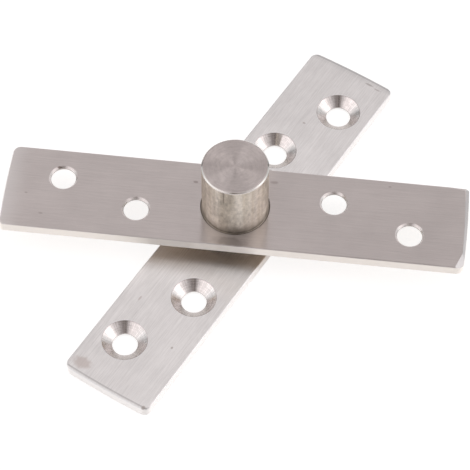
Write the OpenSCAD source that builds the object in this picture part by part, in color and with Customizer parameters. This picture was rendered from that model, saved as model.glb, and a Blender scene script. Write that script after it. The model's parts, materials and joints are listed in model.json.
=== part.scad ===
// Pivot hinge for a door. The lower plate is screwed to the floor or frame and carries a
// riveted pin. The upper plate is screwed to the door's edge and carries a bearing cup, which
// sits in a hole drilled in the door and turns on the pin. A small thrust ball bearing between
// the plates takes the door's weight.
// Origin: on the pivot axis, on the underside of the lower plate. +X runs along the lower
// plate, +Z up. Millimetres.

/* [Plates] */
// Length of each plate
plate_l = 120; // [100:1:160]
// Width of each plate
plate_w = 25; // [22:0.5:40]
// Thickness of each plate
plate_t = 3; // [2.6:0.1:5]
// How far the middle of a plate's end stands proud of its corners
end_crown = 0.3; // [0.1:0.05:1.5]
// Radius of the plates' corners
corner_r = 2; // [0.8:0.1:4]
// Edge break round the plates' faces
edge_break = 0.25; // [0.1:0.05:0.5]

/* [Screw holes] */
// Diameter of the screw holes
hole_d = 6.5; // [4:0.1:7.5]
// Diameter of the countersinks at the plate's face
csk_d = 11.6; // [9:0.1:12.5]
// Angle of the countersinks, all round
csk_angle = 100; // [100:1:120]
// Edge break where a screw hole leaves the plate
hole_break = 0.2; // [0.1:0.05:0.4]
// Distance from a plate's end to its outer holes
hole_inset = 14.6; // [12:0.1:20]
// Distance along a plate from an outer hole to the inner one beside it
hole_pitch = 20.1; // [15:0.1:23]
// Distance across a plate between its two rows of holes
hole_stagger = 7.6; // [0:0.1:9]

/* [Bearing cup] */
// Outside diameter of the cup
cup_d = 17.2; // [16.5:0.1:18.5]
// Height of the cup above the upper plate
cup_h = 17.5; // [16:0.5:30]
// Chamfer round the cup's top
cup_chamfer = 0.4; // [0.2:0.1:1]
// Depth of the cup's bore, from its mouth to where the drill point starts
bore_depth = 14.5; // [14.1:0.1:16.5]
// Angle of the drill point at the end of the bore
drill_angle = 118; // [110:1:140]
// Diameter of the cup's spigot, which goes through the upper plate
spigot_d = 15; // [14:0.1:16.2]
// Diameter of the spigot's flared foot, which keeps the plate from sliding down it
foot_d = 17.6; // [16.6:0.1:19]
// Thickness of the flared foot
foot_t = 1; // [0.8:0.1:1.4]
// Depth of the recess in the upper plate in which the cup's shoulder stands
recess_depth = 0.5; // [0.3:0.05:0.8]
// Width of the ring gap that the recess leaves round the cup
ring_gap = 0.6; // [0.3:0.05:1]
// Radial size of the chamfer under the cup's shoulder
shoulder_chamfer = 0.3; // [0.1:0.05:0.5]

/* [Pin and bush] */
// Diameter of the pin's shank
pin_d = 7; // [6.6:0.1:7]
// Radial running clearance of the pin in its bush
pin_gap = 0.04; // [0.02:0.01:0.08]
// Diameter of the pin's head
head_d = 10; // [9:0.1:10.2]
// Thickness of the pin's head
head_t = 2; // [1.5:0.1:2.4]
// Chamfer of the pin's head
head_chamfer = 0.3; // [0.1:0.1:0.5]
// End play between the pin's head and the bush
end_play = 0.1; // [0.05:0.01:0.3]
// Diameter of the pin's tail, in the lower plate
tail_d = 6; // [5:0.1:6.2]
// Diameter of the riveted head on the pin's tail
rivet_d = 8.6; // [7.5:0.1:10]
// Depth of the riveted head
rivet_t = 1.3; // [1:0.1:1.6]
// Outside diameter of the bush
bush_d = 11; // [10.6:0.1:12]
// Length of the bush
bush_l = 11; // [9:0.5:11]
// Chamfer at the bush's ends
bush_chamfer = 0.3; // [0.1:0.1:0.5]

/* [Thrust bearing] */
// Outside diameter of the races
race_d = 14; // [13.8:0.1:16]
// Thickness of each race
race_t = 1.3; // [1.1:0.1:2]
// Edge break of the races
race_break = 0.2; // [0.1:0.05:0.3]
// Radial gap between the lower race's bore and the pin
lower_race_gap = 0.05; // [0.02:0.01:0.1]
// Radial gap between the upper race's bore and the pin
upper_race_gap = 0.15; // [0.1:0.01:0.2]
// Number of balls
ball_n = 8; // [6:1:9]
// Depth of the balls' groove in each race
groove_depth = 0.25; // [0.15:0.05:0.3]
// How much larger the groove's radius is than a ball's
groove_ease = 0.06; // [0.04:0.01:0.1]
// Running gap between a ball and the bottom of its groove
ball_play = 0.03; // [0.02:0.01:0.05]
// Gap between the cage and the face of each race
cage_side_gap = 0.28; // [0.2:0.02:0.4]
// Radial gap between the cage's bore and the pin
cage_gap = 0.3; // [0.25:0.01:0.35]
// How far the cage's rim stays inside the races' rims
cage_inset = 0.2; // [0.15:0.05:0.3]
// Metal that the cage has between a pocket and either of its edges
cage_rim = 0.34; // [0.25:0.01:0.4]
// Gap between a ball and its pocket in the cage
pocket_gap = 0.06; // [0.04:0.01:0.08]

/* [Pose] */
// Angle between the two plates, as seen from above
open_angle = 63.8; // [0:0.1:180]

/* [Hidden] */
$fn = 96;
overcut = 1; // how far a cutter runs past the face that it cuts

cage_r = race_d / 2 - cage_inset;     // the cage's edge
cage_bore_r = pin_d / 2 + cage_gap;   // and its bore, which the balls run midway between
ball_circle_r = (cage_r + cage_bore_r) / 2;
ball_d = cage_r - cage_bore_r - 2 * (cage_rim + pocket_gap);
race_space = ball_d + 2 * ball_play - 2 * groove_depth; // between the two races' faces
cage_t = race_space - 2 * cage_side_gap;
upper_z = plate_t + 2 * race_t + race_space;            // underside of the upper plate
ball_z = plate_t + race_t + race_space / 2;             // centres of the balls

crown_r = (pow(plate_w / 2, 2) + pow(end_crown, 2)) / (2 * end_crown); // radius of a plate's end
crown_x = plate_l / 2 - crown_r;
corner_y = plate_w / 2 - corner_r;
corner_x = crown_x + sqrt(pow(crown_r - corner_r, 2) - pow(corner_y, 2));
tangent_y = corner_y * crown_r / (crown_r - corner_r); // where a corner's arc meets the end's

outer_x = plate_l / 2 - hole_inset;
inner_x = outer_x - hole_pitch;
row_y = hole_stagger / 2;
hole_places = [[outer_x, -row_y], [inner_x, row_y], [-inner_x, -row_y], [-outer_x, row_y]];
csk_depth = (csk_d - hole_d) / 2 / tan(csk_angle / 2);

BALLS = [for (i = [1:ball_n]) str("ball_", i)];

// What belongs to the upper half, turned on the pivot axis.
module upper_half() {
    rotate([0, 0, -open_angle]) translate([0, 0, upper_z]) children();
}

// A plate's thickness with both edges broken, as a profile that ends at reach.
function broken_profile(from, reach) = [
    [from, 0], [reach - edge_break, 0], [reach, edge_break],
    [reach, plate_t - edge_break], [reach - edge_break, plate_t], [from, plate_t]
];

// A flat bar with crowned ends and round corners, before it is drilled.
module plate_blank() {
    rotate([90, 0, 90]) translate([0, 0, -corner_x]) linear_extrude(2 * corner_x)
        polygon(concat(broken_profile(0, plate_w / 2),
                       [for (i = [5:-1:0]) let (p = broken_profile(0, plate_w / 2)[i]) [-p[0], p[1]]]));
    for (side = [0, 180]) rotate([0, 0, side]) {
        intersection() {
            translate([crown_x, 0, 0]) rotate_extrude() polygon(broken_profile(0, crown_r));
            translate([0, -tangent_y, 0]) cube([plate_l, 2 * tangent_y, plate_t]);
        }
        for (y = [-corner_y, corner_y])
            translate([corner_x, y, 0]) rotate_extrude() polygon(broken_profile(0, corner_r));
    }
}

// Cutter for the four screw holes. The countersinks open at z = 0 and narrow upwards.
module screw_holes() {
    for (p = hole_places) translate([p[0], p[1], 0]) {
        translate([0, 0, -overcut]) cylinder(h = plate_t + 2 * overcut, d = hole_d);
        cylinder(h = csk_depth, d1 = csk_d, d2 = hole_d);
        translate([0, 0, plate_t - hole_break])
            cylinder(h = hole_break, d1 = hole_d, d2 = hole_d + 2 * hole_break);
    }
}

// Plate for the floor or frame: countersunk from above, with the pin's tail riveted in it.
module lower_plate() {
    color("gainsboro") difference() {
        plate_blank();
        translate([0, 0, plate_t]) mirror([0, 0, 1]) screw_holes();
        translate([0, 0, -overcut]) cylinder(h = plate_t + 2 * overcut, d = tail_d);
        cylinder(h = rivet_t, d1 = rivet_d, d2 = tail_d);
    }
}

// Plate for the door's edge: countersunk from below, with a recess on top for the cup's
// shoulder and a hole for its spigot.
module upper_plate() {
    color("silver") upper_half() difference() {
        plate_blank();
        screw_holes();
        translate([0, 0, -overcut]) cylinder(h = plate_t + 2 * overcut, d = spigot_d);
        cylinder(h = foot_t, d1 = foot_d, d2 = spigot_d);
        translate([0, 0, plate_t - recess_depth])
            cylinder(h = recess_depth + overcut, d = cup_d + 2 * ring_gap);
    }
}

// Turned cup with a drilled blind bore. Its shoulder stands in the plate's recess, and the foot
// of its spigot is flared beneath the plate.
module bearing_cup() {
    shoulder_z = plate_t - recess_depth;
    top = plate_t + cup_h;
    point = bore_depth + bush_d / 2 / tan(drill_angle / 2);
    color("lightgray") upper_half() rotate_extrude() polygon([
        [bush_d / 2, 0], [foot_d / 2, 0], [spigot_d / 2, foot_t], [spigot_d / 2, shoulder_z],
        [cup_d / 2 - shoulder_chamfer, shoulder_z], [cup_d / 2, plate_t],
        [cup_d / 2, top - cup_chamfer], [cup_d / 2 - cup_chamfer, top],
        [0, top], [0, point], [bush_d / 2, bore_depth]
    ]);
}

// Plain bush, pressed flush into the cup's mouth. It also holds the pin's head in the cup.
module cup_bush() {
    bore_r = pin_d / 2 + pin_gap;
    color("peru") upper_half() rotate_extrude() polygon([
        [bore_r + bush_chamfer, 0], [bush_d / 2, 0],
        [bush_d / 2, bush_l - bush_chamfer], [bush_d / 2 - bush_chamfer, bush_l],
        [bore_r + bush_chamfer, bush_l], [bore_r, bush_l - bush_chamfer], [bore_r, bush_chamfer]
    ]);
}

// Headed pin: its shoulder stands on the lower plate, and its tail is riveted flush beneath.
module pivot_pin() {
    head_z = upper_z + bush_l + end_play;
    color("darkgray") rotate_extrude() polygon([
        [0, 0], [rivet_d / 2, 0], [tail_d / 2, rivet_t], [tail_d / 2, plate_t],
        [pin_d / 2, plate_t], [pin_d / 2, head_z], [head_d / 2, head_z],
        [head_d / 2, head_z + head_t - head_chamfer],
        [head_d / 2 - head_chamfer, head_z + head_t], [0, head_z + head_t]
    ]);
}

// A bearing race with its groove on top, standing on z = 0.
module race(bore_r) {
    groove_r = ball_d / 2 + groove_ease;
    rotate_extrude() difference() {
        polygon([
            [bore_r, race_break], [bore_r + race_break, 0],
            [race_d / 2 - race_break, 0], [race_d / 2, race_break],
            [race_d / 2, race_t - race_break], [race_d / 2 - race_break, race_t], [bore_r, race_t]
        ]);
        translate([ball_circle_r, race_t - groove_depth + groove_r]) circle(groove_r);
    }
}

// Race that lies on the lower plate.
module lower_race() {
    color("slategray") translate([0, 0, plate_t]) race(pin_d / 2 + lower_race_gap);
}

// Race that carries the cup's foot.
module upper_race() {
    color("slategray") upper_half() mirror([0, 0, 1]) race(pin_d / 2 + upper_race_gap);
}

// Flat cage with a pocket for each ball.
module ball_cage() {
    color("goldenrod") translate([0, 0, ball_z - cage_t / 2]) difference() {
        cylinder(h = cage_t, r = cage_r);
        translate([0, 0, -overcut]) {
            cylinder(h = cage_t + 2 * overcut, r = cage_bore_r);
            for (i = [1:ball_n]) ball_place(i)
                cylinder(h = cage_t + 2 * overcut, r = ball_d / 2 + pocket_gap);
        }
    }
}

// Where ball i sits on the circle of balls.
module ball_place(i) {
    rotate([0, 0, 360 * (i - 1) / ball_n]) translate([ball_circle_r, 0, 0]) children();
}

// One ball of the thrust bearing.
module ball(i) {
    color("whitesmoke") translate([0, 0, ball_z]) ball_place(i) sphere(d = ball_d);
}

lower_plate();
pivot_pin();
lower_race();
ball_cage();
for (i = [1:ball_n]) ball(i);
upper_race();
cup_bush();
bearing_cup();
upper_plate();
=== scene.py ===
# Dresses the pivot hinge: brushed plates with turned countersinks, the turned cup, the thrust
# bearing, and a stage with a pale floor, soft light and a camera.
import json
import math

import bmesh
import bpy
from bpy.props import FloatProperty, FloatVectorProperty, IntProperty, PointerProperty
from mathutils import Matrix, Vector


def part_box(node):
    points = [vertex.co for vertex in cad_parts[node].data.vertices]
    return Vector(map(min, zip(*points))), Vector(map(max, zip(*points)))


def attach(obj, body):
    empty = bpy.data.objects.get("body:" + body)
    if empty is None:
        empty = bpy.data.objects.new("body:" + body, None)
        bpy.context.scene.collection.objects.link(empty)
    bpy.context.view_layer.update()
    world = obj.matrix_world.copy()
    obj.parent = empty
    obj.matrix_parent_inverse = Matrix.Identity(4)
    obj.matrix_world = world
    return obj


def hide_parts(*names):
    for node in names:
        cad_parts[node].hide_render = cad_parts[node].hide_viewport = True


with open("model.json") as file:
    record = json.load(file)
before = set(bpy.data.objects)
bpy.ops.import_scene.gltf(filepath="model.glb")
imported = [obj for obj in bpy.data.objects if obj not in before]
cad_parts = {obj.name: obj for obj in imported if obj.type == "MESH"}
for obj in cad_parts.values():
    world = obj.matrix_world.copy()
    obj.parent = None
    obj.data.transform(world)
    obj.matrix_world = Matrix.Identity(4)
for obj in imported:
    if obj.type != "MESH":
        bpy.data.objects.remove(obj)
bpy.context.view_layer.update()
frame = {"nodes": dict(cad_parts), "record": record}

bl_info = {
    "name": "Pivot hinge",
    "version": (1, 0, 0),
    "blender": (4, 5, 0),
    "location": "3D View > Sidebar > Hinge",
    "description": "Dresses a door pivot hinge with brushed and turned steel",
    "category": "Object",
}

MOUNTS = {mount["name"]: mount for mount in frame["record"]["mounts"]}
LOWER_LO, LOWER_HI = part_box("lower_plate")
CUP_LO, CUP_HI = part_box("bearing_cup")
PLATE_LENGTH = LOWER_HI[0] - LOWER_LO[0]
PLATE_WIDTH = LOWER_HI[1] - LOWER_LO[1]
PLATE_THICKNESS = LOWER_HI[2] - LOWER_LO[2]
UPPER_Z = CUP_LO[2]
HOLE_RADIUS = MOUNTS["lower_screws_1"]["dims"]["hole_r_mm"] / 1000
CUP_RADIUS = MOUNTS["cup"]["dims"]["r_mm"] / 1000
DOOR_POINT = MOUNTS["door_face"]["pos_m"]
UPPER_TURN = math.atan2(DOOR_POINT[1], DOOR_POINT[0])
BALLS = sorted(node for node in frame["nodes"] if node.startswith("ball_") and node != "ball_cage")


def screw_place(name):
    """Centre of a screw hole, from the space that the record keeps open in it."""
    low, high = next(o["box_m"] for o in frame["record"]["physics"]["openings"]
                     if o["name"] == name)
    return ((low[0] + high[0]) / 2, (low[1] + high[1]) / 2)


OUTER_HOLE = screw_place("lower_outer_1_screw")
INNER_HOLE = screw_place("lower_inner_1_screw")


def length(name, description, default):
    return FloatProperty(name=name, description=description, default=default, precision=5,
                         unit="LENGTH")


def share(name, description, default):
    return FloatProperty(name=name, description=description, default=default, min=0.0,
                         max=1.0, subtype="FACTOR")


def colour(name, description, default):
    return FloatVectorProperty(name=name, description=description, default=default, size=3,
                               min=0.0, max=1.0, subtype="COLOR")


class HingePlateSettings(bpy.types.PropertyGroup):
    crown: length("End crown", "How far the middle of an end stands proud of its corners", 0.0003)
    corner: length("Corner radius", "Radius of the plates' corners", 0.002)
    sharp_corner: length("Sharp corner radius", "Radius of the upper plate's sharper corners",
                         0.001)
    rounding: length("Edge rounding", "Rounding of the long edges", 0.0003)
    lower_end: length("Lower end bevel", "Width of the bevel on the lower plate's ends", 0.0006)
    upper_end: length("Upper end bevel", "Width of the bevel on one of the upper plate's ends",
                      0.001)
    snip_long: length("Snip length", "How far the filed corner runs up the upper plate's end",
                      0.0066)
    snip_wide: length("Snip width", "How far the filed corner runs along the side", 0.0025)
    snip_angle: FloatProperty(name="Snip angle", description="Slope of the filed corner",
                              default=math.radians(20), subtype="ANGLE")
    countersink: length("Countersink diameter", "Diameter of the countersinks at the face",
                        0.0116)
    countersink_angle: FloatProperty(name="Countersink angle",
                                     description="Full angle of the countersinks' cone",
                                     default=math.radians(100), subtype="ANGLE")
    hole_break: length("Hole break", "Chamfer where a screw hole leaves the plate", 0.0005)
    rim_rounding: length("Rim rounding", "Rounding of the countersinks' rims", 0.00009)
    cutter_step: length("Cutter step", "Depth of the steps that the cutter left in the "
                        "countersinks", 0.000012)
    step_height: length("Step height", "Height of the steps in the countersinks", 0.00026)
    tail: length("Pin tail diameter", "Diameter of the pin's tail in the lower plate", 0.006)
    rivet: length("Rivet diameter", "Diameter of the pin's riveted head", 0.0086)
    rivet_depth: length("Rivet depth", "Depth of the pin's riveted head", 0.0013)
    lower_steel: colour("Lower steel", "Colour of the lower plate", (0.79, 0.796, 0.80))
    upper_steel: colour("Upper steel", "Colour of the upper plate", (0.744, 0.705, 0.696))
    cut_steel: colour("Cut steel", "Colour of the freshly cut countersinks", (0.61, 0.59, 0.585))
    # The two side colours are painted highlights: paler than the plates' steel, so that the sides
    # look brightly lit.
    side_steel: colour("Side steel", "Colour of the upper plate's sides", (0.98, 0.95, 0.90))
    lower_side_highlight: colour("Lower side steel", "Colour of the lower plate's sides",
                             (0.93, 0.92, 0.91))
    filed_steel: colour("Filed steel", "Colour of the upper plate's filed end",
                        (0.74, 0.74, 0.745))
    roughness: share("Roughness", "Roughness of the brushed faces", 0.36)
    grain: share("Grain", "How much longer the reflections are across the grain", 1.0)


class HingeCupSettings(bpy.types.PropertyGroup):
    chamfer: length("Top chamfer", "Chamfer round the cup's top", 0.00036)
    spigot: length("Spigot diameter", "Diameter of the spigot in the upper plate", 0.015)
    foot_width: length("Foot diameter", "Diameter of the spigot's flared foot", 0.0176)
    foot_depth: length("Foot depth", "Thickness of the spigot's flared foot", 0.001)
    recess: length("Recess depth", "Depth of the plate's recess round the cup", 0.0005)
    ring_gap: length("Ring gap", "Width of the recess round the cup", 0.00038)
    collar: length("Collar", "How far the cup's foot reaches into the recess", 0.0002)
    bore: length("Bore diameter", "Diameter of the bore for the bush", 0.011)
    bore_depth: length("Bore depth", "Depth of the bore to the drill point", 0.0145)
    facets: IntProperty(name="Facets", description="Steps round the cup", default=192, min=48)
    top_steel: colour("Top steel", "Colour of the faced top", (0.575, 0.537, 0.527))
    side_steel: colour("Side steel", "Colour of the turned side", (0.645, 0.60, 0.54))


class HingeBearingSettings(bpy.types.PropertyGroup):
    ball_detail: IntProperty(name="Ball detail", description="Subdivisions of each ball",
                             default=4, min=2, max=6)
    hard_steel: colour("Hard steel", "Colour of races and balls", (0.62, 0.62, 0.63))
    brass: colour("Brass", "Colour of the cage", (0.78, 0.60, 0.30))
    bronze: colour("Bronze", "Colour of the bush", (0.60, 0.40, 0.24))


class HingeStageSettings(bpy.types.PropertyGroup):
    camera_place: FloatVectorProperty(name="Camera place", description="Where the camera stands",
                                      default=(-0.292978, -0.188268, 0.505499), size=3,
                                      subtype="TRANSLATION", unit="LENGTH")
    camera_turn: FloatVectorProperty(name="Camera turn", description="How the camera is turned",
                                     default=(0.600603, -0.001323, -0.997663), size=3,
                                     subtype="EULER")
    lens: FloatProperty(name="Lens", description="Focal length in millimetres", default=179.7)
    floor: colour("Floor", "Colour of the floor", (0.80, 0.80, 0.80))
    floor_size: length("Floor size", "Width of the floor", 6.0)
    sky_colour: colour("Sky colour", "Colour overhead", (1.0, 0.93, 0.92))


# Brightness of the studio, by height in degrees and then round from the upper plate's +X in
# steps of 30 degrees. These values and OVERHEAD were solved for, and not chosen one by one.
STUDIO = (
    (10, (1.18, 0.89, 0.55, 0.84, 0.35, 0.42, 1.13, 1.07, 0.78, 0.48, 0.68, 0.82)),
    (22, (2.26, 1.37, 0.63, 1.23, 0.43, 0.71, 1.71, 1.48, 0.99, 0.36, 0.67, 1.01)),
    (40, (2.36, 1.14, 0.17, 0.66, 0.10, 0.65, 1.50, 1.72, 1.47, 0.30, 0.63, 1.19)),
    (58, (1.48, 1.97, 0.95, 0.78, 0.90, 1.04, 1.41, 1.32, 0.76, 0.10, 0.25, 0.82)),
)
OVERHEAD = 0.49

# Stains and nicks of the plates, and one patch of painted shade, as x, y, half length, half width,
# colour and strength. x and y run along and across a plate from its middle.
LOWER_MARKS = (
    (-0.0566, 0.0090, 0.0019, 0.0027, (0.50, 0.43, 0.40), 0.52),
    (0.0579, -0.0060, 0.0003, 0.0014, (0.40, 0.37, 0.36), 0.60),
    (0.0575, -0.0088, 0.0003, 0.0010, (0.42, 0.38, 0.37), 0.50),
    (-0.0329, 0.0076, 0.0008, 0.0003, (0.55, 0.50, 0.49), 0.60),
    (-0.0409, -0.0075, 0.0004, 0.0003, (0.40, 0.36, 0.35), 0.70),
    (0.0373, 0.0020, 0.0003, 0.0005, (0.40, 0.36, 0.35), 0.60),
    (-0.0592, -0.0112, 0.0006, 0.0005, (0.40, 0.36, 0.34), 0.70),
)
UPPER_STAINS_AND_SHADE = (
    (-0.0467, 0.0069, 0.0009, 0.0004, (0.16, 0.12, 0.10), 0.85),
    (-0.0110, 0.0064, 0.0007, 0.0004, (0.40, 0.35, 0.34), 0.70),
    (0.0094, 0.0086, 0.0012, 0.0005, (0.45, 0.40, 0.39), 0.60),
    (0.0392, 0.0107, 0.0005, 0.0003, (0.42, 0.38, 0.37), 0.50),
    (-0.0543, -0.0020, 0.0005, 0.0003, (0.45, 0.40, 0.39), 0.50),
    (-0.0496, -0.0080, 0.0007, 0.0003, (0.45, 0.40, 0.39), 0.50),
    # painted shade: a dark patch on the plate just in front of the cup, where the cup darkens it
    (0.0, -0.0112, 0.0048, 0.0016, (0.33, 0.30, 0.28), 0.45),
)

# How often the brushed patterns repeat in a metre, along the bar and across it.
HAIRS, STREAKS = (260, 6500, 6500), (70, 2300, 2300)
SCRATCHES, BANDS = (260, 2600, 2600), (20, 160, 160)
CLOUDS, RAGGED = 110, 700
# painted shade: faces that look down are made darker and warmer by this tint
UNDERSIDE_SHADE = (0.95, 0.80, 0.64)
# a painted highlight lightens the upper plate's -X end between the first two distances
HIGHLIGHT_FROM, HIGHLIGHT_TO = 0.0085, 0.0005    # distances from the end, as are the next two rows
END_LINE_INSET, END_LINE_HALF, END_LINE_CORE = 0.00068, 0.00028, 0.0001
END_BAND_FROM, END_BAND_TO = 0.0024, 0.0010

# Where the bevel of an end sets in, over what length it grows, how much deeper than the edge
# rounding it is on each plate, and how far down the upper one is of filed steel.
BEVEL_FROM, BEVEL_RUN = 0.0022, 0.0015
LOWER_DROP, UPPER_DROP, FILED_DEPTH = 0.0002, 0.0001, 0.0005

# Finish of the cup's side and of its faced-off top: shares of rings, bands and clouds in its
# colour, how far the colour spreads, range of roughness, shares of rings and clouds in its
# relief, how drawn out the reflections are, and their tint at a glance.
CUP_SIDE = (0.10, 0.20, 0.70), 0.26, (0.32, 0.42), (0.15, 1.0), 0.75, (0.62, 0.60, 0.58)
CUP_TOP = (0.50, 0.25, 0.25), 0.16, (0.34, 0.44), (1.0, 0.2), 0.80, (1.0, 1.0, 1.0)
# painted shade darkens the cup's side between these two depths, down into the plate
FOOT_SHADE_DEPTHS = (0.0135, 0.0172)           # depths below the cup's top, as is the score's
SCORE_DEPTH, SCORE_TURN = (0.0062, 0.0030), -2.915
SCORE_HALF, SCORE_CORE = 0.00022, 0.00008

# Floor: how far it is fully lit and where its light has ended, its glow, and its tones in the
# dark part and as the camera sees it.
LIT_TO, LIT_FROM, GLOW = 0.12, 0.30, 0.40
UNLIT, SEEN = (0.1, 0.1, 0.1), (0.32, 0.32, 0.32)

# Steps in the shapes.
CORNER_STEPS, END_STEPS, SIDE_STEPS, ROUND_STEPS = 12, 28, 30, 6
HOLE_FACETS, HOLE_LEVELS, MIDDLE_FACETS = 96, 90, 128
WALL_STEPS, TOP_STEPS = 24, 40
DRILL_POINT = 118                      # degrees, as are the angles of sharp edges
PLATE_SHARP, CUP_SHARP = 32, 30
TOUCHING = 1e-7

# Places of the materials on a plate and on the cup.
BRUSHED, CUT, FILED, RECESS = range(4)
SIDE, TOP, CHAMFER, FOOT = range(4)


# ---------------------------------------------------------------- node trees

class Nodes:
    """Adds nodes to a tree, and joins or sets their inputs by name or number."""

    def __init__(self, tree):
        self.tree = tree

    def add(self, kind, inputs=None, **settings):
        node = self.tree.nodes.new(kind)
        for key, value in settings.items():
            setattr(node, key, value)
        for key, value in (inputs or {}).items():
            self.feed(node.inputs[key], value)
        return node

    def feed(self, socket, value):
        if isinstance(value, bpy.types.NodeSocket):
            self.tree.links.new(value, socket)
        elif isinstance(value, bpy.types.Node):
            self.tree.links.new(value.outputs[0], socket)
        else:
            socket.default_value = value

    def math(self, operation, *values, clamp=False):
        return self.add("ShaderNodeMath", dict(enumerate(values)), operation=operation,
                        use_clamp=clamp).outputs[0]

    def plus(self, a, b):
        return self.math("ADD", a, b)

    def minus(self, a, b):
        return self.math("SUBTRACT", a, b)

    def times(self, a, b):
        return self.math("MULTIPLY", a, b)

    def vector(self, operation, *values, out=0):
        return self.add("ShaderNodeVectorMath", dict(enumerate(values)),
                        operation=operation).outputs[out]

    def norm(self, value):
        return self.vector("LENGTH", value, out=1)

    def stretched(self, value, scales):
        return self.vector("MULTIPLY", value, scales)

    def place(self):
        """Where a point lies on its piece, in metres."""
        return self.add("ShaderNodeTexCoord").outputs["Object"]

    def combine(self, x=0.0, y=0.0, z=0.0):
        return self.add("ShaderNodeCombineXYZ", {0: x, 1: y, 2: z}).outputs[0]

    def separate(self, value):
        return self.add("ShaderNodeSeparateXYZ", {0: value}).outputs

    def ramp(self, value, low, high, to_low=0.0, to_high=1.0, smooth=True):
        return self.add("ShaderNodeMapRange", {"Value": value, "From Min": low, "From Max": high,
                                               "To Min": to_low, "To Max": to_high},
                        interpolation_type="SMOOTHSTEP" if smooth else "LINEAR").outputs[0]

    def mix(self, factor, a, b):
        node = self.add("ShaderNodeMix", data_type="RGBA", clamp_factor=True)
        for socket, value in ((node.inputs[0], factor), (node.inputs[6], a), (node.inputs[7], b)):
            if not isinstance(value, (bpy.types.NodeSocket, bpy.types.Node, float, int)):
                value = (*value[:3], 1.0)
            self.feed(socket, value)
        return node.outputs[2]

    def noise(self, vector, scale=1.0, detail=2.0, rough=0.5):
        return self.add("ShaderNodeTexNoise", {"Vector": vector, "Scale": scale,
                                               "Detail": detail, "Roughness": rough}).outputs["Fac"]


def new_material(name):
    material = bpy.data.materials.new(name)
    material.use_nodes = True
    material.node_tree.nodes.clear()
    return material, Nodes(material.node_tree)


def finish_metal(nodes, base, roughness, anisotropy, tangent, height, strength, distance,
                 rim=(1.0, 1.0, 1.0)):
    bump = nodes.add("ShaderNodeBump", {"Strength": strength, "Distance": distance,
                                        "Height": height})
    metal = nodes.add("ShaderNodeBsdfPrincipled", {
        "Base Color": base, "Metallic": 1.0, "Roughness": roughness,
        "Anisotropic": anisotropy, "Anisotropic Rotation": 0.25, "Normal": bump,
        "Specular Tint": (*rim, 1.0)})
    if tangent is not None:
        nodes.feed(metal.inputs["Tangent"], nodes.add(
            "ShaderNodeVectorTransform", {0: tangent}, vector_type="VECTOR",
            convert_from="OBJECT", convert_to="WORLD").outputs[0])
    nodes.add("ShaderNodeOutputMaterial", {"Surface": metal})


def blended(n, *shares):
    """Sum of patterns, each with its share."""
    total = None
    for pattern, amount in shares:
        part = n.times(pattern, amount)
        total = part if total is None else n.plus(total, part)
    return total


def shade(colour_of, amount):
    """A colour made darker or lighter, and no lighter than white."""
    return [min(c * amount, 1) for c in colour_of]


def brushed_plate(name, steel, side_steel, settings, turn, marks, painted_end_light, contrast=0.12,
                  depth=0.4):
    """Flat bar brushed along its length, with the stains and nicks of one plate, and any patch of
    painted shade among its marks; it has painted shade underneath and painted highlights on its
    sides. painted_end_light is how much paler a painted highlight makes its -X end. A plate without
    that has a thin darker line along each end, and a darker band at its +X end."""
    material, n = new_material(name)
    place = n.add("ShaderNodeMapping", {"Vector": n.place(),
                                        "Rotation": (0, 0, -turn)}).outputs[0]
    hair = n.noise(n.stretched(place, HAIRS), detail=3, rough=0.7)
    streak = n.noise(n.stretched(place, STREAKS), detail=3, rough=0.6)
    broad = n.noise(n.stretched(place, BANDS))
    cloud = n.noise(place, CLOUDS, detail=4, rough=0.6)
    tone = blended(n, (hair, 0.40), (streak, 0.25), (broad, 0.10), (cloud, 0.25))
    base = n.mix(n.ramp(tone, 0.34, 0.66, smooth=False), shade(steel, 1 - contrast),
                 shade(steel, 1 + contrast))
    scratch = n.noise(n.stretched(place, SCRATCHES), detail=1)
    base = n.mix(n.ramp(scratch, 0.73, 0.80, 0.0, 0.28), base, shade(steel, 0.68))
    x, y = n.separate(place)[0:2]
    if painted_end_light:
        # painted highlight: the -X end is made paler, towards white
        end = -PLATE_LENGTH / 2
        end_highlight = n.ramp(n.plus(x, n.times(broad, 0.004)), end + HIGHLIGHT_FROM, end + HIGHLIGHT_TO,
                      0.0, painted_end_light)
        base = n.mix(end_highlight, base, (1, 1, 1))
    else:
        # a thin darker line runs along each end, and a darker band along the +X end
        rim = n.plus(n.minus(n.math("ABSOLUTE", x), PLATE_LENGTH / 2),
                     n.times(n.times(y, y), 4 * settings.crown / PLATE_WIDTH ** 2))
        off = n.math("ABSOLUTE", n.plus(rim, END_LINE_INSET))
        base = n.mix(n.times(n.ramp(off, END_LINE_HALF, END_LINE_CORE), 0.5), base, shade(steel, 0.5))
        far = n.times(n.ramp(rim, -END_BAND_FROM, -END_BAND_TO, 0.0, 0.16),
                      n.math("GREATER_THAN", x, 0.0))
        base = n.mix(far, base, shade(steel, 0.4))
    ragged = n.times(n.minus(n.noise(place, RAGGED), 0.5), 0.9)
    # the marks are stains and nicks, and on the upper plate also one patch of painted shade
    for at_x, at_y, wide, deep, tint, amount in marks:
        spot = n.norm(n.combine(n.math("DIVIDE", n.minus(x, at_x), wide),
                                n.math("DIVIDE", n.minus(y, at_y), deep)))
        base = n.mix(n.times(n.ramp(n.plus(spot, ragged), 1.2, 0.5), amount), base, tint)
    # painted shade: faces that look down take a darker, warmer colour
    facing = n.separate(n.add("ShaderNodeTexCoord").outputs["Normal"])[2]
    base = n.mix(n.ramp(facing, -0.4, -0.9), base, n.stretched(base, UNDERSIDE_SHADE))
    # painted highlight: faces that look sideways are mostly painted in the paler side colour
    side = n.ramp(n.math("ABSOLUTE", facing), 0.55, 0.15)
    base = n.mix(n.times(side, 0.9), base, side_steel)
    rough = n.ramp(hair, 0.3, 0.7, settings.roughness - 0.04, settings.roughness + 0.04)
    finish_metal(n, base, rough, settings.grain, (math.cos(turn), math.sin(turn), 0.0),
                 blended(n, (hair, 0.6), (streak, 0.4)), depth, 2e-5)
    return material


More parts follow.
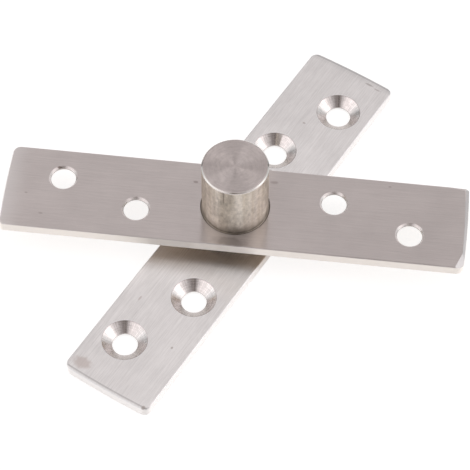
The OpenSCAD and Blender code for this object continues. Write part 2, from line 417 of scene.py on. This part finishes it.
def cut_countersink(name, steel):
    """Steel as a cutter leaves it: fine rings round each hole, that catch the light."""
    material, n = new_material(name)
    place = n.place()
    ring = n.noise(n.stretched(place, (160, 160, 4500)), detail=3, rough=0.6)
    turned = n.add("ShaderNodeAttribute", attribute_name="turn").outputs["Vector"]
    # the cutter chattered, so the wall has fine ribs that run down it
    turned_x, turned_y = n.separate(turned)[0:2]
    rib = n.noise(n.stretched(n.combine(turned_x, turned_y, n.separate(place)[2]),
                              (13, 13, 350)), detail=3, rough=0.6)
    tone = blended(n, (ring, 0.35), (rib, 0.45), (n.noise(place, 900), 0.20))
    base = n.mix(n.ramp(tone, 0.34, 0.66), shade(steel, 0.80), shade(steel, 1.16))
    finish_metal(n, base, n.ramp(ring, 0.3, 0.7, 0.12, 0.20), 0.8, turned,
                 blended(n, (ring, 0.3), (rib, 0.9)), 0.4, 3e-5, (0.84, 0.82, 0.80))
    return material


def round_the_axis(n, place):
    """Direction of the tool's marks on a piece turned about the pivot axis."""
    return n.vector("NORMALIZE", n.vector("CROSS_PRODUCT", (0.0, 0.0, 1.0), place))


def turned_cup(name, steel, side, top):
    """Turned bar. side is True for the cylinder, and False for the faced-off top."""
    material, n = new_material(name)
    colours, spread, roughness, relief, grain, glance = CUP_SIDE if side else CUP_TOP
    place = n.place()
    x, y, z = n.separate(place)
    angle = n.math("ARCTAN2", y, x)
    around = n.math("COSINE", angle), n.math("SINE", angle)
    about = n.stretched(n.combine(*around, z if side else n.norm(n.combine(x, y))),
                        (2.5, 2.5, 1900))
    ring = n.noise(about, detail=3, rough=0.7)
    wide = n.noise(n.stretched(about, (1.4, 1.4, 0.12)))
    cloud = n.noise(n.stretched(place, (1000, 1000, 620 if side else 1000)), detail=4,
                    rough=0.65)
    tone = blended(n, *zip((ring, wide, cloud), colours))
    base = n.mix(n.ramp(tone, 0.34, 0.66, smooth=False), shade(steel, 1 - spread),
                 shade(steel, 1 + spread))
    if side:
        # upright bands, as the bar was handled and wiped, and painted shade in a ring above the
        # foot, where the cup goes into the plate
        band = n.noise(n.stretched(n.combine(*around, z), (5, 5, 25)))
        base = n.mix(n.ramp(band, 0.35, 0.65), base, n.stretched(base, (0.86, 0.84, 0.80)))
        base = n.mix(n.ramp(z, *(top - depth for depth in FOOT_SHADE_DEPTHS), 0.0, 0.55), base,
                     (0.20, 0.17, 0.14))
        # one dark score down from the top
        off = n.times(n.math("ABSOLUTE", n.minus(angle, SCORE_TURN)), CUP_RADIUS)
        score = n.times(n.ramp(off, SCORE_HALF, SCORE_CORE),
                        n.ramp(z, *(top - depth for depth in SCORE_DEPTH)))
        base = n.mix(n.times(score, 0.5), base, (0.12, 0.10, 0.08))
    finish_metal(n, base, n.ramp(tone, 0.35, 0.65, *roughness), grain, round_the_axis(n, place),
                 blended(n, *zip((ring, cloud), relief)), 0.35, 2e-5, glance)
    return material


def turned_inside(name, steel, roughness, grain=0.4):
    """Plain turned finish for the pieces inside the hinge."""
    material, n = new_material(name)
    place = n.place()
    x, y, z = n.separate(place)
    across = n.plus(z, n.norm(n.combine(x, y)))
    ring = n.noise(n.stretched(n.combine(x, y, across), (40, 40, 5000)), detail=3)
    tone = blended(n, (ring, 0.6), (n.noise(place, 500, detail=3), 0.4))
    base = n.mix(n.ramp(tone, 0.36, 0.64), shade(steel, 0.85), shade(steel, 1.1))
    finish_metal(n, base, n.ramp(tone, 0.35, 0.65, *roughness), grain,
                 round_the_axis(n, place), ring, 0.25, 1.5e-5)
    return material


# ---------------------------------------------------------------- shapes

def plate_outline(long, wide, crown, corners):
    """Points round a plate with their outward normals, anticlockwise from above. corners are
    the radii at (-X, -Y), (+X, -Y), (+X, +Y) and (-X, +Y)."""
    crown_r = ((wide / 2) ** 2 + crown ** 2) / (2 * crown)
    crown_x = long / 2 - crown_r

    def corner(r):
        tilt = math.asin((wide / 2 - r) / (crown_r - r))
        return crown_x + (crown_r - r) * math.cos(tilt), wide / 2 - r, tilt

    points = []
    for side, first, second in ((1, corners[1], corners[2]), (-1, corners[3], corners[0])):
        x1, y1, tilt1 = corner(first)
        x2, y2, tilt2 = corner(second)
        half = [(x1, -y1, first, -math.pi / 2 + (math.pi / 2 - tilt1) * i / CORNER_STEPS)
                for i in range(CORNER_STEPS)]
        half += [(crown_x, 0, crown_r, -tilt1 + (tilt1 + tilt2) * i / END_STEPS)
                 for i in range(END_STEPS)]
        half += [(x2, y2, second, tilt2 + (math.pi / 2 - tilt2) * i / CORNER_STEPS)
                 for i in range(CORNER_STEPS + 1)]
        for x, y, r, a in half:
            points.append((Vector((side * (x + r * math.cos(a)), side * (y + r * math.sin(a)))),
                           Vector((side * math.cos(a), side * math.sin(a)))))
        end, flat = points[-1][0], points[-1][1]
        ahead = corner(corners[3] if side > 0 else corners[1])[0]
        for i in range(1, SIDE_STEPS):
            x = end.x + (-side * ahead - end.x) * i / SIDE_STEPS
            points.append((Vector((x, end.y)), flat))
    return points


def ring_of(bm, points, z):
    return [bm.verts.new((p[0], p[1], z)) for p in points]


def bridge(bm, lower, upper, material=0):
    """Joins two rings of as many points, with faces whose normal points to the right of them."""
    count = len(lower)
    for i in range(count):
        j = (i + 1) % count
        face = bm.faces.new((lower[i], lower[j], upper[j], upper[i]))
        face.material_index = material
        face.smooth = True


def cap(bm, rings, up):
    """Fills the flat between an outer ring and the rings of the holes in it."""
    edges = []
    for ring in rings:
        for i, vert in enumerate(ring):
            edges.append(bm.edges.get((vert, ring[(i + 1) % len(ring)])))
    made = bmesh.ops.triangle_fill(bm, use_beauty=True, edges=edges)
    for face in (f for f in made["geom"] if isinstance(f, bmesh.types.BMFace)):
        face.normal_update()
        if (face.normal.z > 0) != up:
            face.normal_flip()
        face.smooth = True


def circle(r, count):
    return [(r * math.cos(2 * math.pi * i / count), r * math.sin(2 * math.pi * i / count))
            for i in range(count)]


def fan(bm, ring, z, material=0):
    """Closes a ring with a point on the axis."""
    tip = bm.verts.new((0, 0, z))
    for i, vert in enumerate(ring):
        face = bm.faces.new((vert, ring[(i + 1) % len(ring)], tip))
        face.material_index, face.smooth = material, True


def mark_sharp(bm, degrees):
    """Marks the edges whose faces meet at more than this angle."""
    for edge in bm.edges:
        if edge.calc_face_angle(0) > math.radians(degrees):
            edge.smooth = False


def new_tree(name, output, inputs):
    """A Geometry Nodes tree with these inputs and their usual values, and a steel."""
    tree = bpy.data.node_groups.new(name, "GeometryNodeTree")
    for title, usual in inputs.items():
        kind = "NodeSocketInt" if isinstance(usual, int) else "NodeSocketFloat"
        socket = tree.interface.new_socket(title, in_out="INPUT", socket_type=kind)
        socket.default_value = usual
    tree.interface.new_socket("Steel", in_out="INPUT", socket_type="NodeSocketMaterial")
    tree.interface.new_socket(output, in_out="OUTPUT", socket_type="NodeSocketGeometry")
    n = Nodes(tree)
    return tree, n, n.add("NodeGroupInput").outputs


def steel_on_points(n, output, points, shape, steel):
    """Ends a tree: one copy of the shape on each point, smooth and in steel."""
    placed = n.add("GeometryNodeInstanceOnPoints", {"Points": points, "Instance": shape})
    solid = n.add("GeometryNodeRealizeInstances", {"Geometry": placed})
    smooth = n.add("GeometryNodeSetShadeSmooth", {"Geometry": solid})
    dressed = n.add("GeometryNodeSetMaterial", {"Geometry": smooth, "Material": steel})
    n.add("NodeGroupOutput", {output: dressed})


def screw_hole_tree():
    """Geometry Nodes: the walls of the four screw holes of a plate, countersunk from above."""
    tree, n, sizes = new_tree("screw_holes", "Holes", {
        "Thickness": 0.003, "Hole Diameter": 0.0065, "Countersink Diameter": 0.0116,
        "Countersink Slope": 1.19, "Hole Break": 0.0002, "Rim Rounding": 0.00008,
        "Cutter Step": 0.00001, "Step Height": 0.00025, "Outer Distance": 0.0454,
        "Inner Distance": 0.0253, "Row Offset": 0.0038, "Facets": HOLE_FACETS,
        "Levels": HOLE_LEVELS})
    wall = n.add("GeometryNodeMeshCylinder", {
        "Vertices": sizes["Facets"], "Side Segments": sizes["Levels"], "Radius": 1.0,
        "Depth": sizes["Thickness"]}, fill_type="NONE")
    x, y, z = n.separate(n.add("GeometryNodeInputPosition"))
    depth = n.minus(n.times(sizes["Thickness"], 0.5), z)
    rise = n.minus(sizes["Thickness"], depth)
    hole = n.times(sizes["Hole Diameter"], 0.5)
    cone = n.minus(n.times(sizes["Countersink Diameter"], 0.5),
                   n.times(depth, sizes["Countersink Slope"]))
    tooth = n.math("FRACT", n.math("DIVIDE", depth, sizes["Step Height"]))
    step = n.times(n.minus(tooth, 1.0), sizes["Cutter Step"])
    lip = n.math("SUBTRACT", 1.0, n.math("DIVIDE", depth, sizes["Rim Rounding"]), clamp=True)
    lip = n.times(n.times(lip, lip), sizes["Rim Rounding"])
    left = n.math("SUBTRACT", 1.0, n.math("DIVIDE", rise, sizes["Hole Break"]), clamp=True)
    foot = n.plus(hole, n.times(left, sizes["Hole Break"]))
    radius = n.math("MAXIMUM", n.math("MAXIMUM", n.plus(n.plus(cone, step), lip), hole), foot)
    shaped = n.add("GeometryNodeSetPosition", {
        "Geometry": wall.outputs["Mesh"],
        "Position": n.combine(n.times(x, radius), n.times(y, radius), rise)})
    around = round_the_axis(n, n.add("GeometryNodeInputPosition").outputs[0])
    marked = n.add("GeometryNodeStoreNamedAttribute", {
        "Geometry": shaped, "Name": "turn", "Value": around},
        data_type="FLOAT_VECTOR", domain="CORNER")
    # points 0 and 3 are outer holes, 1 and 2 inner ones, and 2 and 3 stand at -X
    index = n.add("GeometryNodeInputIndex").outputs[0]
    side = n.minus(1.0, n.times(n.math("GREATER_THAN", index, 1.5), 2.0))
    inner = n.math("COMPARE", index, 1.5, 0.6)
    reach = n.plus(n.times(sizes["Inner Distance"], inner),
                   n.times(sizes["Outer Distance"], n.minus(1.0, inner)))
    row = n.minus(n.times(n.math("MODULO", index, 2.0), 2.0), 1.0)
    points = n.add("GeometryNodePoints", {
        "Count": 4, "Position": n.combine(n.times(reach, side),
                                          n.times(row, sizes["Row Offset"]))})
    steel_on_points(n, "Holes", points, marked, sizes["Steel"])
    return tree


def ball_ring_tree():
    """Geometry Nodes: the balls of the thrust bearing, on their circle."""
    tree, n, sizes = new_tree("ball_ring", "Balls", {
        "Ball Diameter": 0.0022, "Circle Radius": 0.0053, "Height": 0.005, "Count": 8,
        "Detail": 4})
    ball = n.add("GeometryNodeMeshIcoSphere", {
        "Radius": n.times(sizes["Ball Diameter"], 0.5),
        "Subdivisions": sizes["Detail"]}).outputs["Mesh"]
    ring = n.add("GeometryNodeMeshCircle", {"Vertices": sizes["Count"],
                                            "Radius": sizes["Circle Radius"]})
    lifted = n.add("GeometryNodeTransform", {
        "Geometry": ring.outputs["Mesh"], "Translation": n.combine(0.0, 0.0, sizes["Height"])})
    steel_on_points(n, "Balls", lifted, ball, sizes["Steel"])
    return tree


def evaluated_mesh(thing):
    """The mesh that an object has under its modifiers."""
    view = bpy.context.evaluated_depsgraph_get()
    return bpy.data.meshes.new_from_object(thing.evaluated_get(view),
                                           preserve_all_data_layers=True, depsgraph=view)


def grown(tree, values):
    """The plain mesh that a Geometry Nodes tree makes with these inputs."""
    holder = bpy.data.objects.new(tree.name, bpy.data.meshes.new(tree.name))
    bpy.context.scene.collection.objects.link(holder)
    modifier = holder.modifiers.new("shape", "NODES")
    modifier.node_group = tree
    sockets = {item.name: item.identifier for item in tree.interface.items_tree
               if item.item_type == "SOCKET" and item.in_out == "INPUT"}
    for name, value in values.items():
        modifier[sockets[name]] = value
    mesh = evaluated_mesh(holder)
    bpy.data.objects.remove(holder)
    return mesh


def new_piece(name, mesh):
    piece = bpy.data.objects.new(name, mesh)
    bpy.context.scene.collection.objects.link(piece)
    return piece


def flat_shading_of_flats(piece):
    """Weighs the normals by area alone, so that flats look flat beside rounded edges."""
    modifier = piece.modifiers.new("flats", "WEIGHTED_NORMAL")
    modifier.keep_sharp = True
    modifier.weight = 100
    mesh = evaluated_mesh(piece)
    piece.modifiers.clear()
    old, piece.data = piece.data, mesh
    bpy.data.meshes.remove(old)


def finished_piece(bm, name, materials):
    """The piece that a finished mesh makes."""
    mesh = bpy.data.meshes.new(name)
    bm.to_mesh(mesh)
    bm.free()
    for material in materials:
        mesh.materials.append(material)
    piece = new_piece(name, mesh)
    flat_shading_of_flats(piece)
    return piece


def open_rims(walls, height):
    """The rings in which these vertices end at a height."""
    left = {v for v in walls if abs(v.co.z - height) < TOUCHING}
    rims = []
    while left:
        rims.append([left.pop()])
        while True:
            ahead = [e.other_vert(rims[-1][-1]) for e in rims[-1][-1].link_edges]
            ahead = [vert for vert in ahead if vert in left]
            if not ahead:
                break
            left.discard(ahead[0])
            rims[-1].append(ahead[0])
    return rims


def file_corner(bm, point, normal):
    """Takes off what lies beyond a plane, and closes the cut."""
    cut = bmesh.ops.bisect_plane(bm, geom=[*bm.verts, *bm.edges, *bm.faces], dist=TOUCHING,
                                 plane_co=point, plane_no=normal, clear_outer=True)
    rim = [e for e in cut["geom_cut"] if isinstance(e, bmesh.types.BMEdge)]
    for face in bmesh.ops.holes_fill(bm, edges=rim, sides=0)["faces"]:
        face.normal_update()
        if face.normal.dot(normal) < 0:
            face.normal_flip()
        face.material_index, face.smooth = FILED, True
    for edge in rim:
        edge.smooth = False


def near_end(x):
    """0 along the bar, and up to 1 at the bevel of its +X end."""
    return max(0.0, min(1.0, (x - PLATE_LENGTH / 2 + BEVEL_FROM) / BEVEL_RUN))


def build_plate(name, settings, corners, holes, centre, edge_at, snip, below, materials, place):
    """A whole plate. holes is the mesh of the screw holes' walls, centre the profile of the
    middle hole from the top down as (radius, height), and edge_at gives the bevel's width and
    depth along the top edge, and how flat it is. snip is the plane of the filed corner, and
    below puts the countersinks underneath."""
    thick, small = PLATE_THICKNESS, settings.rounding
    bm = bmesh.new()
    outline = plate_outline(PLATE_LENGTH, PLATE_WIDTH, settings.crown, corners)
    angles = [math.pi / 2 * k / ROUND_STEPS for k in range(ROUND_STEPS + 1)]
    rings = [ring_of(bm, [p - out * small * (1 - math.sin(a)) for p, out in outline],
                     small * (1 - math.cos(a))) for a in angles]
    for k, a in enumerate(angles):
        ring = []
        for p, out in outline:
            width, drop, flat = edge_at(p.x, p.y)
            back = (1 - math.cos(a)) * (1 - flat) + k / ROUND_STEPS * flat
            down = (1 - math.sin(a)) * (1 - flat) + (1 - k / ROUND_STEPS) * flat
            inner = p - out * width * back
            ring.append(bm.verts.new((inner.x, inner.y, thick - drop * down)))
        rings.append(ring)
    for low, high in zip(rings, rings[1:]):
        bridge(bm, low, high)
    if snip:
        for face in bm.faces:
            at = face.calc_center_median()
            if at.x > PLATE_LENGTH / 2 - settings.upper_end and at.z > thick - FILED_DEPTH:
                face.material_index = FILED
    middle = [ring_of(bm, circle(r, MIDDLE_FACETS), z) for r, z in centre]
    for high, low in zip(middle, middle[1:]):
        bridge(bm, high, low, RECESS if below else BRUSHED)
    before = len(bm.verts)
    bm.from_mesh(holes)
    bm.verts.ensure_lookup_table()
    walls = bm.verts[before:]
    wall_faces = {f for v in walls for f in v.link_faces}
    for face in wall_faces:
        at_break = face.calc_center_median().z < settings.hole_break * 0.8
        face.material_index, face.smooth = BRUSHED if at_break else CUT, True
    turn = bm.loops.layers.float_vector["turn"]
    if below:
        for vert in walls:
            vert.co = (vert.co.x, -vert.co.y, thick - vert.co.z)
        for face in wall_faces:
            for loop in face.loops:
                x, y, z = loop[turn]
                loop[turn] = (x, -y, -z)
    cap(bm, [rings[0], middle[-1], *open_rims(walls, 0.0)], up=False)
    cap(bm, [rings[-1], middle[0], *open_rims(walls, thick)], up=True)
    for face in wall_faces:
        face.normal_update()
    # the walls face the middle of their holes
    hole_at = Vector((*OUTER_HOLE, 0))
    probe = min(wall_faces, key=lambda f: (f.calc_center_median() - hole_at).length)
    if probe.normal.xy.dot(hole_at.xy - probe.calc_center_median().xy) < 0:
        bmesh.ops.reverse_faces(bm, faces=list(wall_faces))
    mark_sharp(bm, PLATE_SHARP)
    if snip:
        file_corner(bm, *snip)
    bm.transform(place)
    spin = place.to_3x3()
    for face in bm.faces:
        for loop in face.loops:
            loop[turn] = spin @ loop[turn]
    loose = [e for e in bm.edges if len(e.link_faces) != 2]
    if loose:
        raise RuntimeError(f"{name}: {len(loose)} edges don't have two faces")
    return finished_piece(bm, name, materials)


def holes_for(settings, row, steel):
    return grown(screw_hole_tree(), {
        "Thickness": PLATE_THICKNESS, "Hole Diameter": 2 * HOLE_RADIUS,
        "Countersink Diameter": settings.countersink,
        "Countersink Slope": math.tan(settings.countersink_angle / 2),
        "Hole Break": settings.hole_break, "Rim Rounding": settings.rim_rounding,
        "Cutter Step": settings.cutter_step, "Step Height": settings.step_height,
        "Outer Distance": OUTER_HOLE[0], "Inner Distance": INNER_HOLE[0],
        "Row Offset": row, "Facets": HOLE_FACETS, "Levels": HOLE_LEVELS, "Steel": steel})


# ---------------------------------------------------------------- operators

class HINGE_OT_lower_plate(bpy.types.Operator):
    """Makes the lower plate, countersunk from above"""
    bl_idname = "hinge.lower_plate"
    bl_label = "Lower plate"

    def execute(self, context):
        s = context.scene.hinge_plates
        steel = brushed_plate("lower plate steel", s.lower_steel, s.lower_side_highlight, s, 0.0,
                              LOWER_MARKS, painted_end_light=0.0, contrast=0.16, depth=0.8)
        cut = cut_countersink("lower countersink steel", s.cut_steel)

        def edge_at(x, y):
            end = near_end(abs(x))
            return (s.rounding + (s.lower_end - s.rounding) * end,
                    s.rounding + LOWER_DROP * end, 0.0)

        centre = [(s.tail / 2, PLATE_THICKNESS), (s.tail / 2, s.rivet_depth), (s.rivet / 2, 0.0)]
        piece = build_plate("lower_plate_brushed", s, [s.corner] * 4,
                            holes_for(s, -OUTER_HOLE[1], cut), centre, edge_at, None, False,
                            (steel, cut), Matrix.Identity(4))
        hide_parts("lower_plate")
        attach(piece, "lower")
        return {"FINISHED"}


class HINGE_OT_upper_plate(bpy.types.Operator):
    """Makes the upper plate, with the recess round the cup"""
    bl_idname = "hinge.upper_plate"
    bl_label = "Upper plate"

    def execute(self, context):
        s, c = context.scene.hinge_plates, context.scene.hinge_cup
        steel = brushed_plate("upper plate steel", s.upper_steel, s.side_steel, s, UPPER_TURN,
                              UPPER_STAINS_AND_SHADE, painted_end_light=0.60)
        filed = brushed_plate("filed end steel", s.filed_steel, s.side_steel, s,
                              UPPER_TURN + math.pi / 2, (), painted_end_light=0.0)
        # painted shade: the recess round the cup is coloured dark
        recess_shade = turned_inside("recess shade steel", (0.34, 0.30, 0.27), (0.5, 0.6), 0.2)
        cut = cut_countersink("upper countersink steel", s.cut_steel)
        half_long, half_wide = PLATE_LENGTH / 2, PLATE_WIDTH / 2

        def edge_at(x, y):
            end = near_end(x)
            lean = 0.6 + 0.4 * (y + half_wide) / PLATE_WIDTH
            width = s.rounding + (s.upper_end * lean - s.rounding) * end
            return width, s.rounding + UPPER_DROP * end, end

        along, across = Vector((s.snip_long, s.snip_wide)).normalized()
        rise, run = math.cos(s.snip_angle), math.sin(s.snip_angle)
        snip = (Vector((half_long, s.snip_long - half_wide, PLATE_THICKNESS)),
                Vector((along * run, -across * run, rise)))
        gap_r, ease = CUP_RADIUS + c.ring_gap, 0.00006
        floor_z = PLATE_THICKNESS - c.recess
        centre = [(gap_r + ease, PLATE_THICKNESS), (gap_r, PLATE_THICKNESS - ease),
                  (gap_r, floor_z), (c.spigot / 2, floor_z), (c.spigot / 2, c.foot_depth),
                  (c.foot_width / 2, 0.0)]
        place = Matrix.Translation((0, 0, UPPER_Z)) @ Matrix.Rotation(UPPER_TURN, 4, "Z")
        piece = build_plate("upper_plate_brushed", s, [s.sharp_corner, s.corner] * 2,
                            holes_for(s, OUTER_HOLE[1], cut), centre, edge_at, snip, True,
                            (steel, cut, filed, recess_shade), place)
        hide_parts("upper_plate")
        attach(piece, "upper")
        return {"FINISHED"}


class HINGE_OT_cup(bpy.types.Operator):
    """Makes the turned cup, with its chamfer, collar and flared foot"""
    bl_idname = "hinge.cup"
    bl_label = "Bearing cup"

    def execute(self, context):
        c = context.scene.hinge_cup
        bottom, top = CUP_LO[2], CUP_HI[2]
        face = bottom + PLATE_THICKNESS
        r, collar, bore = CUP_RADIUS, CUP_RADIUS + c.collar, c.bore / 2
        point = bottom + c.bore_depth + bore / math.tan(math.radians(DRILL_POINT / 2))
        ease = 0.0001
        side = [(bore, bottom), (c.foot_width / 2, bottom),
                (c.spigot / 2, bottom + c.foot_depth), (c.spigot / 2, face - c.recess),
                (collar, face - c.recess), (collar, face - ease),
                (collar - ease * 0.6, face - ease * 0.4), (r, face - ease * 0.2)]
        side += [(r, face + (top - c.chamfer - face) * i / WALL_STEPS)
                 for i in range(1, WALL_STEPS)]
        side += [(r, top - c.chamfer - ease)]
        rim = [(r - ease * 0.3, top - c.chamfer + ease * 0.5),
               (r - c.chamfer + ease * 0.5, top - ease * 0.3)]
        faced = [((r - c.chamfer - ease) * (1 - i / TOP_STEPS), top) for i in range(TOP_STEPS)]
        bm = bmesh.new()
        rings = [ring_of(bm, circle(radius, c.facets), z) for radius, z in side + rim + faced]
        marks = ([FOOT] * 5 + [SIDE] * (len(side) - 6) + [CHAMFER] * 3
                 + [TOP] * (len(faced) - 1))
        for low, high, mark in zip(rings, rings[1:], marks):
            bridge(bm, low, high, mark)
        fan(bm, rings[-1], top, TOP)
        inner = ring_of(bm, circle(bore, c.facets), bottom + c.bore_depth)
        bridge(bm, inner, rings[0])
        fan(bm, inner, point)
        bmesh.ops.recalc_face_normals(bm, faces=bm.faces)
        mark_sharp(bm, CUP_SHARP)
        piece = finished_piece(bm, "bearing_cup_turned", (
            turned_cup("cup side steel", c.side_steel, True, top),
            turned_cup("cup top steel", c.top_steel, False, top),
            turned_inside("cup chamfer steel", (0.66, 0.64, 0.62), (0.10, 0.16), 0.3),
            # painted shade: the foot and collar, which sit in the plate's recess, are coloured dark
            turned_inside("cup foot shade steel", (0.30, 0.26, 0.23), (0.5, 0.6), 0.2)))
        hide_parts("bearing_cup")
        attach(piece, "upper")
        return {"FINISHED"}


def dress(node, material):
    """Gives a CAD node its material."""
    for slot in frame["nodes"][node].material_slots:
        slot.material = material


class HINGE_OT_pin(bpy.types.Operator):
    """Gives the pin and its bush their turned finish"""
    bl_idname = "hinge.pin"
    bl_label = "Pin and bush"

    def execute(self, context):
        b = context.scene.hinge_bearing
        dress("pivot_pin", turned_inside("pin steel", (0.66, 0.64, 0.60), (0.28, 0.42)))
        dress("cup_bush", turned_inside("bush bronze", b.bronze, (0.45, 0.6), 0.2))
        return {"FINISHED"}


class HINGE_OT_bearing(bpy.types.Operator):
    """Makes the bearing's balls, and gives races and cage their finish"""
    bl_idname = "hinge.bearing"
    bl_label = "Thrust bearing"

    def execute(self, context):
        b = context.scene.hinge_bearing
        hard = turned_inside("race steel", b.hard_steel, (0.16, 0.26))
        dress("lower_race", hard)
        dress("upper_race", hard)
        dress("ball_cage", turned_inside("cage brass", b.brass, (0.3, 0.45), 0.2))
        polished, n = new_material("ball steel")
        cloud = n.noise(n.place(), 900, detail=3)
        base = n.mix(n.ramp(cloud, 0.35, 0.65), shade(b.hard_steel, 0.92), b.hard_steel)
        finish_metal(n, base, n.ramp(cloud, 0.35, 0.65, 0.08, 0.14), 0.0, None, cloud, 0.05,
                     1e-5)
        low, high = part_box(BALLS[0])
        mesh = grown(ball_ring_tree(), {
            "Ball Diameter": high[2] - low[2], "Circle Radius": (low[0] + high[0]) / 2,
            "Height": (low[2] + high[2]) / 2, "Count": len(BALLS), "Detail": b.ball_detail,
            "Steel": polished})
        piece = new_piece("bearing_balls", mesh)
        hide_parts(*BALLS)
        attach(piece, "cage")
        return {"FINISHED"}


def floor_paper(tone):
    """Pale paper with a glow of its own. It gives the hinge little light from far off."""
    paper, n = new_material("floor paper")
    seen = n.add("ShaderNodeLightPath").outputs
    camera = seen["Is Camera Ray"]
    plain = n.math("MAXIMUM", n.math("MAXIMUM", camera, seen["Is Glossy Ray"]),
                   seen["Is Transmission Ray"])
    near = n.math("MAXIMUM", camera, n.ramp(n.norm(n.place()), LIT_FROM, LIT_TO, 0.1, 1.0))
    matt = n.add("ShaderNodeBsdfDiffuse", {
        "Color": n.mix(camera, n.mix(near, UNLIT, tone), SEEN)})
    glow = n.add("ShaderNodeEmission", {
        "Color": (1, 1, 1, 1),
        "Strength": n.times(n.times(plain, near), n.plus(GLOW, n.times(camera, GLOW)))})
    n.add("ShaderNodeOutputMaterial", {
        "Surface": n.add("ShaderNodeAddShader", {0: matt, 1: glow})})
    return paper


def band_round(n, turn, ring):
    """Brightness round the room at one height, from its values at even steps."""
    ramp = n.add("ShaderNodeValToRGB", {0: turn})
    stops = ramp.color_ramp.elements
    while len(stops) < len(ring) + 1:
        stops.new(0.5)
    for i, stop in enumerate(stops):
        stop.position = i / len(ring)
        stop.color = (*(ring[i % len(ring)],) * 3, 1)
    return ramp.outputs[0]


def studio(sky_colour):
    """The room that lights the hinge, from the table of its brightness."""
    world = bpy.data.worlds.new("studio")
    world.use_nodes = True
    world.node_tree.nodes.clear()
    n = Nodes(world.node_tree)
    x, y, z = n.separate(n.add("ShaderNodeTexCoord").outputs["Generated"])
    height = n.math("ARCSINE", z)
    turn = n.minus(n.math("ARCTAN2", y, x), UPPER_TURN)
    turn = n.math("FRACT", n.plus(n.math("DIVIDE", turn, 2 * math.pi), 2.0))

    def up_from(low, high, smooth=False):
        return n.ramp(height, math.radians(low), math.radians(high), smooth=smooth)

    bands = [(above, band_round(n, turn, ring)) for above, ring in STUDIO]
    (under, level), *higher = bands + [(90, (OVERHEAD,) * 3)]
    for above, band in higher:
        level, under = n.mix(up_from(under, above), level, band), above
    level = n.mix(up_from(6, 9), (1.0, 1.0, 1.0), level)
    warm = n.mix(up_from(12, 36, smooth=True), (1.0, 1.0, 1.0), sky_colour)
    # what stands in the dark parts of the room is brownish
    warm = n.vector("MULTIPLY", warm, n.mix(n.ramp(n.separate(level)[0], 0.25, 0.70),
                                            (1.04, 0.97, 0.93), (1.0, 1.0, 1.0)))
    glow = n.add("ShaderNodeBackground", {"Color": n.vector("MULTIPLY", level, warm),
                                          "Strength": 1.0})
    n.add("ShaderNodeOutputWorld", {"Surface": glow})
    return world


class HINGE_OT_stage(bpy.types.Operator):
    """Sets the floor, the soft light and the camera"""
    bl_idname = "hinge.stage"
    bl_label = "Stage"

    def execute(self, context):
        s, scene = context.scene.hinge_stage, context.scene
        scene.view_settings.view_transform = "Standard"
        camera_data = bpy.data.cameras.new("camera")
        camera_data.lens, camera_data.sensor_width = s.lens, 36.0
        camera_data.clip_start, camera_data.clip_end = 0.01, 20.0
        camera = bpy.data.objects.new("camera", camera_data)
        camera.location, camera.rotation_euler = s.camera_place, s.camera_turn
        scene.collection.objects.link(camera)
        scene.camera = camera

        half = s.floor_size / 2
        mesh = bpy.data.meshes.new("floor")
        mesh.from_pydata([(-half, -half, 0), (half, -half, 0), (half, half, 0), (-half, half, 0)],
                         [], [(0, 1, 2, 3)])
        mesh.materials.append(floor_paper(s.floor))
        floor = new_piece("floor", mesh)
        scene.world = studio(s.sky_colour)
        return {"FINISHED"}


class HINGE_PT_panel(bpy.types.Panel):
    """Lists the hinge's pieces"""
    bl_label = "Pivot hinge"
    bl_idname = "HINGE_PT_panel"
    bl_space_type = "VIEW_3D"
    bl_region_type = "UI"
    bl_category = "Hinge"

    def draw(self, context):
        for operator in OPERATORS:
            self.layout.operator(operator.bl_idname)
        for group in GROUPS:
            box = self.layout.box()
            for name in GROUPS[group].__annotations__:
                box.prop(getattr(context.scene, group), name)


GROUPS = {"hinge_plates": HingePlateSettings, "hinge_cup": HingeCupSettings,
          "hinge_bearing": HingeBearingSettings, "hinge_stage": HingeStageSettings}
OPERATORS = (HINGE_OT_lower_plate, HINGE_OT_upper_plate, HINGE_OT_cup, HINGE_OT_pin,
             HINGE_OT_bearing, HINGE_OT_stage)


def register():
    for group, kind in GROUPS.items():
        bpy.utils.register_class(kind)
        setattr(bpy.types.Scene, group, PointerProperty(type=kind))
    for operator in OPERATORS:
        bpy.utils.register_class(operator)
    bpy.utils.register_class(HINGE_PT_panel)


def unregister():
    bpy.utils.unregister_class(HINGE_PT_panel)
    for operator in reversed(OPERATORS):
        bpy.utils.unregister_class(operator)
    for group, kind in GROUPS.items():
        delattr(bpy.types.Scene, group)
        bpy.utils.unregister_class(kind)


def main():
    register()
    bpy.ops.hinge.lower_plate()
    bpy.ops.hinge.upper_plate()
    bpy.ops.hinge.cup()
    bpy.ops.hinge.pin()
    bpy.ops.hinge.bearing()
    bpy.ops.hinge.stage()


if __name__ == "__main__":
    main()
